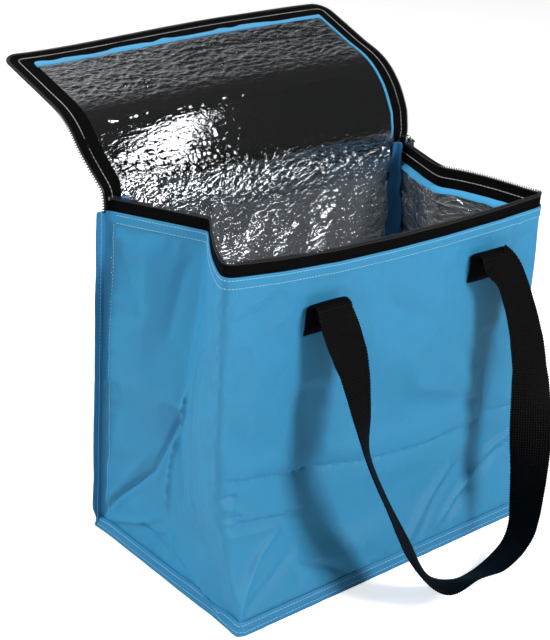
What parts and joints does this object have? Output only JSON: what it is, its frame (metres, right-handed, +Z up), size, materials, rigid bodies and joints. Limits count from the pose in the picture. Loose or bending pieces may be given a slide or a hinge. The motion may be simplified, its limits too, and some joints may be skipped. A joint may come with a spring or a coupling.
{
  "type": "insulated cooler bag",
  "caption": "Soft insulated cooler bag with tucked side walls, foil lining, a zipped lid standing open and webbing loop handles.",
  "frame": {"origin": "middle of the base, on the floor", "axes": "+X to the bag's right, +Y to its back where the lid is sewn on, +Z up"},
  "size_m": [0.354, 0.4143, 0.397],
  "materials": {
    "shell_fabric": "blue twill polyester with a soft sheen",
    "binding": "blue plain-weave binding",
    "foam": "white closed-cell foam",
    "foil": "crinkled bright foil film",
    "board": "stiff sheet",
    "zip_tape": "black woven zip tape",
    "zip_coil": "black nylon coil",
    "webbing": "black ribbed webbing",
    "slider_metal": "plated die-cast metal",
    "pull_metal": "black painted metal"
  },
  "bodies": {
    "root": {"outer_wrap": "shell_fabric", "back_panel": "shell_fabric", "bottom_panel": "shell_fabric", "base_board": "board", "foam_front": "foam", "foam_back": "foam", "foam_left": "foam", "foam_right": "foam", "foam_bottom": "foam", "foil_front": "foil", "foil_back": "foil", "foil_left": "foil", "foil_right": "foil", "foil_bottom": "foil", "base_seam": "shell_fabric", "back_left_seam": "shell_fabric", "back_right_seam": "shell_fabric", "corner_binding_left": "binding", "corner_binding_right": "binding", "rim_tape": "zip_tape", "rim_coil": "zip_coil", "rim_hem": "binding", "zip_stop_left": "slider_metal", "zip_stop_right": "slider_metal", "lid_hinge_strip": "shell_fabric", "front_handle_tab_left": "webbing", "front_handle_tab_right": "webbing", "back_handle_tab_left": "webbing", "back_handle_tab_right": "webbing"},
    "lid_rear": {"lid_rear_shell": "shell_fabric", "lid_rear_foam": "foam", "lid_rear_foil": "foil", "lid_rear_tape_left": "zip_tape", "lid_rear_tape_right": "zip_tape", "lid_rear_coil_left": "zip_coil", "lid_rear_coil_right": "zip_coil", "lid_rear_hem_left": "binding", "lid_rear_hem_right": "binding"},
    "lid_front": {"lid_front_shell": "shell_fabric", "lid_front_foam": "foam", "lid_front_foil": "foil", "lid_front_tape": "zip_tape", "lid_front_coil": "zip_coil", "lid_front_hem": "binding"},
    "front_handle": {"front_handle": "webbing"},
    "back_handle": {"back_handle": "webbing"},
    "zip_slider": {"zip_slider": "slider_metal"},
    "zip_pull": {"zip_pull": "pull_metal"}
  },
  "joints": [
    {"name": "lid_hinge", "type": "hinge", "parent": "root", "child": "lid_rear", "pos_m": [0, 0.096, 0.3063], "axis": [1, 0, 0], "range_deg": [-50, 126]},
    {"name": "lid_curl", "type": "hinge", "parent": "lid_rear", "child": "lid_front", "pos_m": [0, 0.1404, 0.35686], "axis": [1, 0, 0], "range_deg": [-14, 35]},
    {"name": "front_handle_lift", "type": "hinge", "parent": "root", "child": "front_handle", "pos_m": [0.0135, -0.0728, 0.252], "axis": [-1, 0, 0], "range_deg": [0, 144]},
    {"name": "back_handle_lift", "type": "hinge", "parent": "root", "child": "back_handle", "pos_m": [0.0135, 0.10505, 0.252], "axis": [1, 0, 0], "range_deg": [0, 118]},
    {"name": "zip_slide", "type": "slide", "parent": "root", "child": "zip_slider", "axis": [0.3773, 0.9261, 0], "range_m": [-0.055, 0]},
    {"name": "zip_pull_swing", "type": "hinge", "parent": "zip_slider", "child": "zip_pull", "pos_m": [0.16655, 0.08423, 0.301], "axis": [-0.3773, -0.9261, 0], "range_deg": [0, 90]}
  ],
  "couplings": [
    {"joint": "lid_curl", "follows": "lid_hinge", "ratio": 0.26984}
  ]
}
